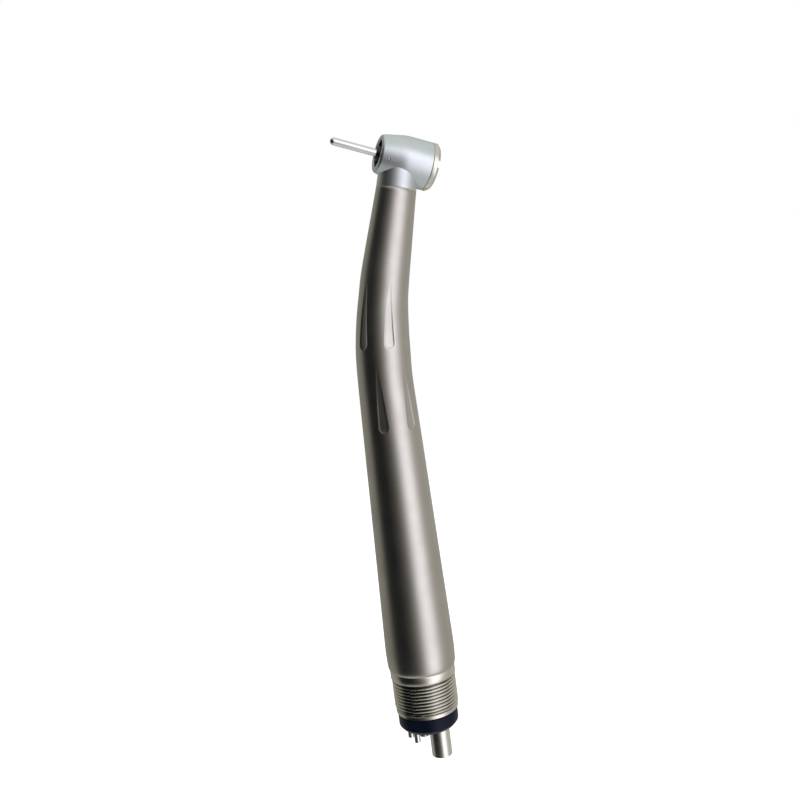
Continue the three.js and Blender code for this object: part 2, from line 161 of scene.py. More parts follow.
# ---- meshes ----
def make_object(name, verts, faces, sharp=32.0):
    """A smooth-shaded mesh object with normals outwards and sharp edges past an angle."""
    mesh = bpy.data.meshes.new(name)
    mesh.from_pydata([tuple(v) for v in verts], [], faces)
    mesh.validate()
    finish_mesh(mesh, sharp)
    obj = bpy.data.objects.new(name, mesh)
    bpy.context.scene.collection.objects.link(obj)
    return obj


def finish_mesh(mesh, sharp=32.0):
    """Smooth shading with sharp edges past an angle."""
    mesh.shade_smooth()
    mesh.set_sharp_from_angle(angle=math.radians(sharp))
    mesh.update()


def lathe(profile, segments=96, closed=False):
    """Vertices and faces of (radius, height) points turned about Z; radius 0 ends share one point."""
    verts = []
    faces = []
    rows = []
    for radius, height in profile:
        if radius <= 1e-9:
            rows.append([len(verts)] * segments)
            verts.append((0, 0, height))
            continue
        rows.append(list(range(len(verts), len(verts) + segments)))
        for j in range(segments):
            a = TAU * j / segments
            verts.append((radius * math.cos(a), radius * math.sin(a), height))
    pairs = list(zip(rows, rows[1:]))
    if closed:
        pairs.append((rows[-1], rows[0]))
    for low, high in pairs:
        for j in range(segments):
            k = (j + 1) % segments
            face = [low[j], low[k], high[k], high[j]]
            unique = list(dict.fromkeys(face))
            if len(unique) > 2:
                faces.append(unique)
    return verts, faces


def rounded(profile, radius, steps=4, closed=False):
    """The same outline with its corners rounded by an arc of about the given size."""
    result = []
    count = len(profile)
    for i, point in enumerate(profile):
        if not closed and i in (0, count - 1):
            result.append(point)
            continue
        p = Vector(point)
        before = Vector(profile[i - 1]) - p
        after = Vector(profile[(i + 1) % count]) - p
        reach = min(radius, before.length * 0.45, after.length * 0.45)
        start = p + before.normalized() * reach
        end = p + after.normalized() * reach
        for k in range(steps + 1):
            t = k / steps
            q = start * (1 - t) ** 2 + p * 2 * t * (1 - t) + end * t ** 2
            result.append((q.x, q.y))
    return result


def turned_mm(profile, round_mm, closed, segments=96):
    """A turned solid from outline points in millimetres, with its corners softened."""
    outline = rounded([(r * MM, z * MM) for r, z in profile], round_mm * MM, closed=closed)
    return lathe(outline, segments, closed)


def plain_mm(profile, segments):
    """A turned solid from outline points in millimetres, with its corners left sharp."""
    return lathe([(r * MM, z * MM) for r, z in profile], segments)


def on_axis(verts):
    """Moves points from the rotor's own frame to the row frame."""
    place = Matrix.Translation(HEAD) @ AXIS_TURN
    return [place @ Vector(v) for v in verts]


def in_neck(verts):
    """Moves points from the neck's own frame, which starts at the head's centre, to the row frame."""
    return [NECK_PLACE @ Vector(v) for v in verts]


def in_plug(verts):
    """Moves points from the plug's own frame to the row frame."""
    return on_axis([PLUG_LEAN @ Vector(v) for v in verts])


def grid_faces(rows, columns, start=0):
    """Quads of a grid that wraps around its columns."""
    faces = []
    for i in range(rows - 1):
        for j in range(columns):
            k = (j + 1) % columns
            a = start + i * columns
            faces.append((a + j, a + k, a + columns + k, a + columns + j))
    return faces


def cut_by(obj, *tools):
    """Cuts the tools out of obj and gives the plain result."""
    for tool in tools:
        modifier = obj.modifiers.new("cut", "BOOLEAN")
        modifier.operation = "DIFFERENCE"
        modifier.solver = "EXACT"
        modifier.object = tool
    return bake(obj, tools)


def join_with(obj, *others):
    """Joins the other solids to obj and gives the plain result."""
    for other in others:
        modifier = obj.modifiers.new("join", "BOOLEAN")
        modifier.operation = "UNION"
        modifier.solver = "EXACT"
        modifier.object = other
    return bake(obj, others)


def bake(obj, spent=()):
    """Turns modifiers into a plain mesh and drops the spent tools."""
    graph = bpy.context.evaluated_depsgraph_get()
    mesh = bpy.data.meshes.new_from_object(obj.evaluated_get(graph))
    obj.modifiers.clear()
    obj.data = mesh
    for tool in spent:
        bpy.data.objects.remove(tool)
    return obj


def finish_piece(obj, body, nodes, material):
    """Gives a piece its material, its body and the CAD nodes it stands for."""
    obj.data.materials.clear()
    obj.data.materials.append(material)
    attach(obj, body)
    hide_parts(*nodes)
    return obj


# ---- the handle's centre line ----
def centre_line(s):
    """Point and lean of the handle's centre line at a length s above the origin."""
    if s < ARC_START:
        return Vector((0, 0, s)), 0.0
    if s > ARC_END:
        along = s - ARC_END + BEND_TANGENT
        return Vector((0, 0, BEND_Z)) + NECK_DIR * along, BEND
    turn = (s - ARC_START) / BEND_RADIUS
    x = BEND_RADIUS * (1 - math.cos(turn))
    return Vector((x, 0, ARC_START + BEND_RADIUS * math.sin(turn))), turn


def handle_radius(s):
    """Outer radius of the handle, in metres, with soft changes of slope."""
    xs = [p[0] for p in HANDLE_PROFILE]
    ys = [p[1] for p in HANDLE_PROFILE]
    at = s / MM
    near = [at - 1.2, at - 0.6, at, at + 0.6, at + 1.2]
    return float(np.mean(np.interp(near, xs, ys))) * MM


def flute_depth(s, azimuth, width, length, edge):
    """Depth of the teardrop finger flutes at a point of the handle's skin: a flat bed in a low step."""
    step = TAU / FLUTES_PER_ROW
    radius = handle_radius(s)
    for bottom, shift, share in FLUTE_ROWS:
        d = s - bottom
        if d < -width or d > length:
            continue
        turn = (azimuth + math.pi / 2 - shift * step) % step
        turn = min(turn, step - turn)
        x = turn * radius
        if d > 0:
            half = width * max(1e-6, 1 - d / length) ** 0.7
        else:
            half = math.sqrt(max(0.0, width ** 2 - d ** 2))
        inside = half - x
        if inside <= 0:
            continue
        rise = min(1.0, inside / FLUTE_EDGE)
        fade = min(1.0, 0.15 + 1.2 * (length - d) / length)
        bed = 1.3 * (half ** 2 - x ** 2) / (2 * radius)
        return (edge * rise * rise * (3 - 2 * rise) + bed) * fade * share
    return 0.0


def handle_ring(s, columns, radius_at):
    """Points around the centre line at a length s, with a radius for each azimuth."""
    point, lean = centre_line(s)
    side = Vector((math.cos(lean), 0, -math.sin(lean)))
    ring = []
    for j in range(columns):
        a = TAU * j / columns
        radius = radius_at(a)
        ring.append(point + side * radius * math.cos(a) + Vector((0, radius * math.sin(a), 0)))
    return ring


# ---- shader groups ----
def new_group(name, inputs, outputs):
    """An empty shader group with named sockets."""
    tree = bpy.data.node_groups.new(name, "ShaderNodeTree")
    for label, kind, default in inputs:
        socket = tree.interface.new_socket(name=label, in_out="INPUT", socket_type=kind)
        if default is not None:
            socket.default_value = default
    for label, kind in outputs:
        tree.interface.new_socket(name=label, in_out="OUTPUT", socket_type=kind)
    entry = tree.nodes.new("NodeGroupInput")
    leave = tree.nodes.new("NodeGroupOutput")
    return tree, entry, leave


def math_node(tree, operation, a, b=None, clamp=False):
    """One math node with sockets or numbers on its inputs."""
    node = tree.nodes.new("ShaderNodeMath")
    node.operation = operation
    node.use_clamp = clamp
    for index, value in enumerate((a, b)):
        if value is None:
            continue
        if isinstance(value, (int, float)):
            node.inputs[index].default_value = value
        else:
            tree.links.new(value, node.inputs[index])
    return node.outputs[0]


def noise_node(tree, vector, scale, detail=3.0, roughness=0.55):
    """One noise texture on a vector, with a number or a socket as its scale."""
    node = tree.nodes.new("ShaderNodeTexNoise")
    node.inputs["Detail"].default_value = detail
    node.inputs["Roughness"].default_value = roughness
    if isinstance(scale, (int, float)):
        node.inputs["Scale"].default_value = scale
    else:
        tree.links.new(scale, node.inputs["Scale"])
    tree.links.new(vector, node.inputs["Vector"])
    return node.outputs["Fac"]


def lathe_marks_group():
    """Fine rings left by turning: a value and a normal from stretched noise about an axis."""
    name = "Turning marks"
    if name in bpy.data.node_groups:
        return bpy.data.node_groups[name]
    tree, entry, leave = new_group(
        name,
        [("Vector", "NodeSocketVector", None), ("Along Scale", "NodeSocketFloat", 9000.0),
         ("Around Scale", "NodeSocketFloat", 120.0), ("Strength", "NodeSocketFloat", 0.1)],
        [("Value", "NodeSocketFloat"), ("Normal", "NodeSocketVector")],
    )
    parts = tree.nodes.new("ShaderNodeSeparateXYZ")
    tree.links.new(entry.outputs["Vector"], parts.inputs[0])
    join = tree.nodes.new("ShaderNodeCombineXYZ")
    for index, key in enumerate(("Around Scale", "Around Scale", "Along Scale")):
        scaled = math_node(tree, "MULTIPLY", parts.outputs[index], entry.outputs[key])
        tree.links.new(scaled, join.inputs[index])
    value = noise_node(tree, join.outputs[0], 1.0, 4.0, 0.65)
    bump = tree.nodes.new("ShaderNodeBump")
    bump.inputs["Distance"].default_value = 0.00002
    tree.links.new(value, bump.inputs["Height"])
    tree.links.new(entry.outputs["Strength"], bump.inputs["Strength"])
    tree.links.new(value, leave.inputs["Value"])
    tree.links.new(bump.outputs[0], leave.inputs["Normal"])
    return tree


def grain_group():
    """An even fine grain, as bead blasting or moulding leaves: a value and a normal."""
    name = "Fine grain"
    if name in bpy.data.node_groups:
        return bpy.data.node_groups[name]
    tree, entry, leave = new_group(
        name,
        [("Vector", "NodeSocketVector", None), ("Scale", "NodeSocketFloat", 9000.0),
         ("Strength", "NodeSocketFloat", 0.2), ("Normal", "NodeSocketVector", None)],
        [("Value", "NodeSocketFloat"), ("Normal", "NodeSocketVector")],
    )
    value = noise_node(tree, entry.outputs["Vector"], entry.outputs["Scale"], 4.0, 0.7)
    bump = tree.nodes.new("ShaderNodeBump")
    bump.inputs["Distance"].default_value = 0.00003
    tree.links.new(value, bump.inputs["Height"])
    tree.links.new(entry.outputs["Strength"], bump.inputs["Strength"])
    tree.links.new(value, leave.inputs["Value"])
    tree.links.new(bump.outputs[0], leave.inputs["Normal"])
    return tree


def tone_group():
    """Large soft patches from handling: shifts a colour and a roughness a little."""
    name = "Handling tone"
    if name in bpy.data.node_groups:
        return bpy.data.node_groups[name]
    tree, entry, leave = new_group(
        name,
        [("Vector", "NodeSocketVector", None), ("Colour", "NodeSocketColor", (0.6, 0.6, 0.6, 1)),
         ("Second Colour", "NodeSocketColor", (0.5, 0.5, 0.5, 1)),
         ("Scale", "NodeSocketFloat", 160.0), ("Roughness", "NodeSocketFloat", 0.3),
         ("Roughness Change", "NodeSocketFloat", 0.1), ("Marks", "NodeSocketFloat", 0.5)],
        [("Colour", "NodeSocketColor"), ("Roughness", "NodeSocketFloat")],
    )
    patch = noise_node(tree, entry.outputs["Vector"], entry.outputs["Scale"], 5.0, 0.6)
    mask = tree.nodes.new("ShaderNodeMapRange")
    mask.inputs["From Min"].default_value = 0.35
    mask.inputs["From Max"].default_value = 0.68
    tree.links.new(patch, mask.inputs["Value"])
    mix = tree.nodes.new("ShaderNodeMix")
    mix.data_type = "RGBA"
    tree.links.new(mask.outputs[0], mix.inputs["Factor"])
    tree.links.new(entry.outputs["Colour"], mix.inputs[6])
    tree.links.new(entry.outputs["Second Colour"], mix.inputs[7])
    tree.links.new(mix.outputs[2], leave.inputs["Colour"])
    marks = math_node(tree, "SUBTRACT", entry.outputs["Marks"], 0.5)
    both = math_node(tree, "ADD", marks, math_node(tree, "SUBTRACT", mask.outputs[0], 0.5))
    change = math_node(tree, "MULTIPLY", both, entry.outputs["Roughness Change"])
    rough = math_node(tree, "ADD", entry.outputs["Roughness"], change, clamp=True)
    tree.links.new(rough, leave.inputs["Roughness"])
    return tree


def groove_group():
    """Painted shade in thread grooves: darkens a colour towards the root of a groove, by the distance from
    the Z axis.
    """
    name = "Groove shade"
    if name in bpy.data.node_groups:
        return bpy.data.node_groups[name]
    tree, entry, leave = new_group(
        name,
        [("Vector", "NodeSocketVector", None), ("Colour", "NodeSocketColor", (0.6, 0.6, 0.6, 1)),
         # The dark root colour is painted shade in the grooves, not the steel's own colour.
         ("Painted Root Shade", "NodeSocketColor", (0.09, 0.088, 0.08, 1)),
         ("Root Radius", "NodeSocketFloat", 6.42 * MM), ("Crest Radius", "NodeSocketFloat", 6.6 * MM)],
        [("Colour", "NodeSocketColor")],
    )
    flat = tree.nodes.new("ShaderNodeVectorMath")
    flat.operation = "MULTIPLY"
    flat.inputs[1].default_value = (1, 1, 0)
    tree.links.new(entry.outputs["Vector"], flat.inputs[0])
    reach = tree.nodes.new("ShaderNodeVectorMath")
    reach.operation = "LENGTH"
    tree.links.new(flat.outputs[0], reach.inputs[0])
    mask = tree.nodes.new("ShaderNodeMapRange")
    tree.links.new(reach.outputs["Value"], mask.inputs["Value"])
    tree.links.new(entry.outputs["Root Radius"], mask.inputs["From Min"])
    tree.links.new(entry.outputs["Crest Radius"], mask.inputs["From Max"])
    mix = tree.nodes.new("ShaderNodeMix")
    mix.data_type = "RGBA"
    tree.links.new(mask.outputs[0], mix.inputs["Factor"])
    tree.links.new(entry.outputs["Painted Root Shade"], mix.inputs[6])
    tree.links.new(entry.outputs["Colour"], mix.inputs[7])
    tree.links.new(mix.outputs[2], leave.inputs["Colour"])
    return tree


def axis_vector(tree, about_rotor):
    """Object coordinates, turned into the rotor's own frame where asked."""
    coords = tree.nodes.new("ShaderNodeTexCoord")
    if not about_rotor:
        return coords.outputs["Object"]
    mapping = tree.nodes.new("ShaderNodeMapping")
    mapping.vector_type = "TEXTURE"
    mapping.inputs["Location"].default_value = HEAD
    mapping.inputs["Rotation"].default_value = AXIS_TURN.to_euler()
    tree.links.new(coords.outputs["Object"], mapping.inputs["Vector"])
    return mapping.outputs[0]


def surface(name, colour, second, roughness, change, metallic, marks, about_rotor=False, groove_shaded=False):
    """A material of tone patches over turning marks or grain, with painted shade in thread grooves if
    asked.
    """
    if name in bpy.data.materials:
        return bpy.data.materials[name]
    material = bpy.data.materials.new(name)
    material.use_nodes = True
    tree = material.node_tree
    shader = tree.nodes["Principled BSDF"]
    shader.inputs["Metallic"].default_value = metallic
    if metallic == 0.0:
        # No specular from roughness 0.8 up: keeps the stage paper plain and the front shield's painted
        # shade black.
        shader.inputs["Specular IOR Level"].default_value = 0.14 if roughness < 0.8 else 0.0
    vector = axis_vector(tree, about_rotor)
    kind, scale, strength = marks
    detail = tree.nodes.new("ShaderNodeGroup")
    if kind == "turned":
        detail.node_tree = lathe_marks_group()
        detail.inputs["Along Scale"].default_value = scale
    else:
        detail.node_tree = grain_group()
        detail.inputs["Scale"].default_value = scale
    detail.inputs["Strength"].default_value = strength
    tree.links.new(vector, detail.inputs["Vector"])
    tone = tree.nodes.new("ShaderNodeGroup")
    tone.node_tree = tone_group()
    tone.inputs["Colour"].default_value = (*colour, 1)
    tone.inputs["Second Colour"].default_value = (*second, 1)
    tone.inputs["Roughness"].default_value = roughness
    tone.inputs["Roughness Change"].default_value = change
    tree.links.new(vector, tone.inputs["Vector"])
    tree.links.new(detail.outputs["Value"], tone.inputs["Marks"])
    colour_socket = tone.outputs["Colour"]
    # Painted shade: the colour darkens towards the roots of the thread's grooves.
    if groove_shaded:
        groove = tree.nodes.new("ShaderNodeGroup")
        groove.node_tree = groove_group()
        tree.links.new(vector, groove.inputs["Vector"])
        tree.links.new(colour_socket, groove.inputs["Colour"])
        colour_socket = groove.outputs["Colour"]
    tree.links.new(colour_socket, shader.inputs["Base Color"])
    tree.links.new(tone.outputs["Roughness"], shader.inputs["Roughness"])
    tree.links.new(detail.outputs["Normal"], shader.inputs["Normal"])
    return material


def darker(colour, share):
    """A colour scaled down."""
    return tuple(v * share for v in colour)


def looks(slot, about_rotor=False, groove_shaded=False):
    """The material of a finish, with the settings' colours where it leaves them open."""
    steel = bpy.context.scene.handpiece_finish
    colour, second, roughness, *rest = FINISHES[slot]
    if slot == "handle_steel":
        colour = tuple(steel.handle_colour)
        roughness = steel.handle_roughness
    if slot == "head_steel":
        colour = tuple(steel.head_colour)
    second = second or darker(colour, 0.93)
    name = "finish_" + slot + ("_rotor" if about_rotor else "") + ("_groove_shade" if groove_shaded else "")
    return surface(name, colour, second, roughness, *rest, about_rotor=about_rotor, groove_shaded=groove_shaded)


# ---- settings ----
class HandpieceSizes(bpy.types.PropertyGroup):
    """Sizes that a user may change."""

    flute_width: bpy.props.FloatProperty(
        name="Flute half width", description="Half the width of a finger flute at its round end",
        default=1.1 * MM, min=0.5 * MM, max=1.4 * MM, precision=5, subtype="DISTANCE", unit="LENGTH",
    )
    flute_length: bpy.props.FloatProperty(
        name="Flute length", description="Length of a finger flute above its round end",
        default=13.2 * MM, min=6 * MM, max=16 * MM, precision=5, subtype="DISTANCE", unit="LENGTH",
    )
    flute_depth: bpy.props.FloatProperty(
        name="Flute step", description="Height of the step around a finger flute's flat bed",
        default=0.08 * MM, min=0.02 * MM, max=0.3 * MM, precision=5, subtype="DISTANCE", unit="LENGTH",
    )
    thread_pitch: bpy.props.FloatProperty(
        name="Thread pitch", description="Distance between thread ridges",
        default=0.7 * MM, min=0.4 * MM, max=1.2 * MM, precision=5, subtype="DISTANCE", unit="LENGTH",
    )
    spring_turns: bpy.props.FloatProperty(
        name="Spring turns", description="Turns of the button's return spring",
        default=2.5, min=1.5, max=4.0,
    )


class HandpieceFinish(bpy.types.PropertyGroup):
    """Colours and finishes that a user may change."""

    handle_colour: bpy.props.FloatVectorProperty(
        name="Handle colour", description="Base colour of the handle's satin steel",
        default=(0.605, 0.581, 0.542), subtype="COLOR", size=3, min=0.0, max=1.0,
    )
    head_colour: bpy.props.FloatVectorProperty(
        name="Head colour", description="Base colour of the blasted head",
        default=(0.79, 0.83, 0.86), subtype="COLOR", size=3, min=0.0, max=1.0,
    )
    handle_roughness: bpy.props.FloatProperty(
        name="Handle roughness", description="Roughness of the handle's satin steel",
        default=0.32, min=0.05, max=0.8, subtype="FACTOR",
    )
    backdrop_colour: bpy.props.FloatVectorProperty(
        name="Backdrop colour", description="Colour of the floor and the backdrop",
        default=(0.93, 0.93, 0.93), subtype="COLOR", size=3, min=0.0, max=1.0,
    )


# ---- pieces ----
class HANDPIECE_OT_handle(bpy.types.Operator):
    """Builds the bent handle with its finger flutes"""

    bl_idname = "handpiece.handle"
    bl_label = "Handle"

    def execute(self, context):
        sizes = context.scene.handpiece_sizes
        columns = 336
        levels = [SEAM_Z, SEAM_Z + 0.12 * MM, SEAM_Z + 0.35 * MM, SEAM_Z + 0.8 * MM]
        levels += list(np.linspace(SEAM_Z + 1.5 * MM, 63.5 * MM, 40))
        levels += list(np.linspace(64.2 * MM, 98.5 * MM, 190))
        levels += list(np.linspace(99.2 * MM, RING_S - 0.12 * MM, 24)) + [RING_S]
        verts = []
        shape = (sizes.flute_width, sizes.flute_length, sizes.flute_depth)
        for s in levels:
            edge = 0.0
            if s < SEAM_Z + 0.8 * MM:
                edge = 0.25 * MM * (1 - (s - SEAM_Z) / (0.8 * MM)) ** 2
            if s == RING_S:
                edge = 0.08 * MM
            base = handle_radius(s) - edge
            verts += handle_ring(s, columns, lambda a: base - flute_depth(s, a, *shape))
        inner = [RING_S, 108 * MM, 100 * MM, 96 * MM, 92 * MM, 87.5 * MM, 81 * MM, 75 * MM, SOCKET_TOP]
        for s in inner:
            radius = handle_radius(s) - HANDLE_WALL
            verts += handle_ring(s, columns, lambda a: radius)
        for s in (SOCKET_TOP, SEAM_Z):
            verts += handle_ring(s, columns, lambda a: SOCKET_R)
        rows = len(levels) + len(inner) + 2
        faces = grid_faces(rows, columns)
        last = (rows - 1) * columns
        faces += [(last + j, last + (j + 1) % columns, (j + 1) % columns, j) for j in range(columns)]
        obj = make_object("handle_skin", verts, faces, 38)
        finish_piece(obj, "handle", ["handle_shell"], looks("handle_steel"))
        return {"FINISHED"}


class HANDPIECE_OT_head(bpy.types.Operator):
    """Builds the head's housing with its neck collar"""

    bl_idname = "handpiece.head"
    bl_label = "Head housing"

    def execute(self, context):
        barrel = [
            (0, -5.9), (5.05, -5.9), (5.05, -1.2), (5.04, -0.7), (5.0, -0.2), (4.93, 0.3),
            (4.84, 0.8), (4.05, 4.6), (3.75, 4.95), (2.9, 4.95), (2.9, 3.9), (0, 3.9),
        ]
        verts, faces = turned_mm(barrel, 0.16, False, 128)
        housing = make_object("head_shell", on_axis(verts), faces)
        verts, faces = turned_mm([(0, -6.46), (4.22, -6.46), (4.15, -1), (0, -1)], 0.1, False, 128)
        collar = make_object("collar", in_neck(verts), faces)
        verts, faces = turned_mm([(0, -11.5), (3.05, -11.5), (3.05, -3), (0, -3)], 0.1, False, 64)
        spigot = make_object("spigot", in_neck(verts), faces)
        inside = [
            (0, -7.5), (4.3, -7.5), (4.3, -4.85), (3.6, -4.85), (3.6, -1.85), (3.95, -1.6),
            (3.95, 1.3), (3.6, 1.6), (3.6, 4.15), (0, 4.15),
        ]
        verts, faces = plain_mm(inside, 96)
        bore = make_object("bore", on_axis(verts), faces)
        verts, faces = plain_mm([(0, -13), (2.45, -13), (2.45, -2.5), (0, -2.5)], 48)
        passage = make_object("passage", in_neck(verts), faces)
        verts, faces = plain_mm([(0, 3.0), (0.34, 3.0), (0.34, 4.8), (0, 4.8)], 24)
        hole = make_object("plug_hole", in_plug(verts), faces)
        join_with(housing, collar, spigot)
        cut_by(housing, bore, passage, hole)
        finish_mesh(housing.data, 24)
        finish_piece(housing, "handle", ["head_housing"], looks("head_steel"))
        return {"FINISHED"}


class HANDPIECE_OT_plug(bpy.types.Operator):
    """Builds the small round plug in the side of the head"""

    bl_idname = "handpiece.plug"
    bl_label = "Channel plug"

    def execute(self, context):
        outline = [(0, 3.68), (0.31, 3.68), (0.31, 4.22)]
        outline += [(0.31 * math.cos(a), 4.22 + 0.05 * math.sin(a)) for a in np.linspace(0.3, 1.3, 5)]
        outline += [(0, 4.27)]
        verts, faces = plain_mm(outline, 32)
        obj = make_object("plug_face", in_plug(verts), faces)
        finish_piece(obj, "handle", ["channel_plug"], looks("plug_steel"))
        return {"FINISHED"}


class HANDPIECE_OT_cap(bpy.types.Operator):
    """Builds the notched screw-in cap at the back of the head"""

    bl_idname = "handpiece.cap"
    bl_label = "Back cap"

    def execute(self, context):
        ring = [
            (2.58, -7.4), (4.5, -7.4), (5.05, -6.85), (5.05, -5.93), (4.25, -5.93),
            (4.25, -4.9), (3.5, -4.9), (3.5, -6.55), (2.58, -6.55),
        ]
        verts, faces = turned_mm(ring, 0.09, True, 128)
        cap = make_object("cap_ring", on_axis(verts), faces)
        tools = []
        for i in range(4):
            turn = Matrix.Rotation(TAU * i / 4 + math.pi / 2, 4, "Z")
            corners = []
            for z, floor in ((-7.9, 4.0), (-6.1, 4.2)):
                for x, y in ((floor, -0.75), (5.6, -0.75), (5.6, 0.75), (floor, 0.75)):
                    corners.append(turn @ Vector((x, y, z)) * MM)
            sides = [(0, 3, 2, 1), (4, 5, 6, 7), (0, 1, 5, 4), (1, 2, 6, 5), (2, 3, 7, 6), (3, 0, 4, 7)]
            tools.append(make_object(f"notch_{i}", on_axis(corners), sides))
        cut_by(cap, *tools)
        finish_mesh(cap.data, 28)
        finish_piece(cap, "handle", ["back_cap"], looks("warm_steel", True))
        return {"FINISHED"}


class HANDPIECE_OT_button(bpy.types.Operator):
    """Builds the release button in the middle of the cap"""

    bl_idname = "handpiece.button"
    bl_label = "Push button"

    def execute(self, context):
        outline = [
            (0, -7.55), (2.2, -7.5), (2.5, -7.25), (2.5, -6.5), (3.2, -6.5), (3.2, -6.25),
            (1.1, -6.25), (1.1, -5.2), (0, -5.2),
        ]
        verts, faces = turned_mm(outline, 0.12, False, 96)
        obj = make_object("button_face", on_axis(verts), faces)
        finish_piece(obj, "button", ["push_button"], looks("warm_steel", True))
        return {"FINISHED"}


class HANDPIECE_OT_chuck(bpy.types.Operator):
    """Builds the chuck's nose and the test bur in it"""

    bl_idname = "handpiece.chuck"
    bl_label = "Chuck and bur"

    def execute(self, context):
        nose = [(0.85, 4.2), (1.5, 4.2), (1.5, 4.75), (1.25, 5.35), (0.85, 5.35)]
        verts, faces = turned_mm(nose, 0.08, True, 64)
        chuck = make_object("chuck_nose", on_axis(verts), faces)
        finish_piece(chuck, "rotor", ["chuck_collet"], looks("chuck_steel", True))
        outline = [(0, -3.4), (0.8, -3.4)]
        outline += [(0.8 * math.cos(a), 14.35 + 0.8 * math.sin(a)) for a in np.linspace(0, 1.45, 10)]
        outline += [(0, 15.15)]
        verts, faces = plain_mm(outline, 64)
        bar = make_object("bur_bar", on_axis(verts), faces)
        finish_piece(bar, "bur", ["test_bur"], looks("bur_steel", True))
        return {"FINISHED"}


class HANDPIECE_OT_coupling(bpy.types.Operator):
    """Builds the threaded connector and the gasket"""

    bl_idname = "handpiece.coupling"
    bl_label = "Threaded connector and gasket"

    def execute(self, context):
        pitch = context.scene.handpiece_sizes.thread_pitch
        columns = 144
        low, high = 4.5 * MM, 10.95 * MM
        plain_low = [(6.3, 3.5), (6.5, 3.55), (6.64, 3.7), (6.64, 4.3), (6.45, 4.45)]
        plain_high = [
            (6.5, 11.0), (6.88, 11.15), (6.95, 11.25), (6.95, 12.9), (6.9, 12.97), (5.65, 13.0), (5.65, 24),
        ]
        rows = [[(r * MM, z * MM)] * columns for r, z in plain_low]
        for i in range(int((high - low) / pitch * 10) + 1):
            z = low + pitch * i / 10
            row = []
            for j in range(columns):
                phase = z / pitch - j / columns
                ridge = abs(2 * (phase - math.floor(phase)) - 1)
                ridge = min(1.0, max(0.0, ridge * 1.6 - 0.32))
                ends = max(0.0, min(1.0, min(z - low, high - z) / pitch * 2.5))
                row.append(((6.40 + 0.40 * ridge * ends) * MM, z))
            rows.append(row)
        rows += [[(r * MM, z * MM)] * columns for r, z in plain_high]
        verts = []
        for row in rows:
            for j, (r, z) in enumerate(row):
                a = TAU * j / columns
                verts.append((r * math.cos(a), r * math.sin(a), z))
        faces = grid_faces(len(rows), columns)
        last = (len(rows) - 1) * columns
        faces.append(tuple(reversed(range(columns))))
        faces.append(tuple(range(last, last + columns)))
        connector = make_object("threaded_end", verts, faces)
        cut_by(connector, *self.holes(3, 25))
        finish_mesh(connector.data, 40)
        # The thread's material carries painted shade in its grooves.
        threaded = looks("warm_steel", groove_shaded=True)
        finish_piece(connector, "handle", ["rear_connector"], threaded)
        verts, faces = turned_mm([(0, 0), (5.6, 0), (6.4, 0.9), (6.4, 3.49), (0, 3.49)], 0.25, False, 128)
        gasket = make_object("gasket_ring", verts, faces)
        cut_by(gasket, *self.holes(-1, 4.5))
        finish_mesh(gasket.data, 35)
        finish_piece(gasket, "handle", ["coupling_gasket"], looks("dark_rubber"))
        return {"FINISHED"}

    @staticmethod
    def holes(low, high):
        """Clearance holes for the four tubes."""
        tools = []
        for node in TUBE_WALLS_MM:
            a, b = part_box(node)
            centre = (a + b) / 2
            radius = (b.x - a.x) / 2 / MM + 0.05
            verts, faces = plain_mm([(0, low), (radius, low), (radius, high), (0, high)], 48)
            verts = [(x + centre.x, y + centre.y, z) for x, y, z in verts]
            tools.append(make_object("hole_" + node, verts, faces))
        return tools


class HANDPIECE_OT_tubes(bpy.types.Operator):
    """Builds the four tubes of the coupling"""

    bl_idname = "handpiece.tubes"
    bl_label = "Coupling tubes"

    def execute(self, context):
        for node, wall in TUBE_WALLS_MM.items():
            a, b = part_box(node)
            centre = (a + b) / 2
            outer = (b.x - a.x) / 2
            inner = outer - wall * MM
            outline = rounded([(inner, a.z), (outer, a.z), (outer, b.z), (inner, b.z)], 0.06 * MM, 3, True)
            verts, faces = lathe(outline, 72, True)
            verts = [(x + centre.x, y + centre.y, z) for x, y, z in verts]
            obj = make_object(node + "_skin", verts, faces)
            finish_piece(obj, "handle", [node], looks("tube_steel"))
        return {"FINISHED"}


def spring_tree():
    """Geometry nodes: a wire wound into a helix along Z."""
    tree = bpy.data.node_groups.new("Wound spring", "GeometryNodeTree")
    labels = (
        ("Turns", 2.5), ("Radius", SPRING_R), ("Height", SPRING_HEIGHT), ("Wire Radius", SPRING_WIRE_R),
    )
    for label, default in labels:
        socket = tree.interface.new_socket(name=label, in_out="INPUT", socket_type="NodeSocketFloat")
        socket.default_value = default
    tree.interface.new_socket(name="Material", in_out="INPUT", socket_type="NodeSocketMaterial")
    tree.interface.new_socket(name="Geometry", in_out="OUTPUT", socket_type="NodeSocketGeometry")
    entry = tree.nodes.new("NodeGroupInput")
    leave = tree.nodes.new("NodeGroupOutput")
    helix = tree.nodes.new("GeometryNodeCurveSpiral")
    helix.inputs["Resolution"].default_value = 40
    tree.links.new(entry.outputs["Turns"], helix.inputs["Rotations"])
    tree.links.new(entry.outputs["Radius"], helix.inputs["Start Radius"])
    tree.links.new(entry.outputs["Radius"], helix.inputs["End Radius"])
    tree.links.new(entry.outputs["Height"], helix.inputs["Height"])
    wire = tree.nodes.new("GeometryNodeCurvePrimitiveCircle")
    wire.inputs["Resolution"].default_value = 10
    tree.links.new(entry.outputs["Wire Radius"], wire.inputs["Radius"])
    sweep = tree.nodes.new("GeometryNodeCurveToMesh")
    sweep.inputs["Fill Caps"].default_value = True
    tree.links.new(helix.outputs[0], sweep.inputs["Curve"])
    tree.links.new(wire.outputs[0], sweep.inputs["Profile Curve"])
    end_tree(tree, sweep.outputs[0], entry, leave)
    return tree


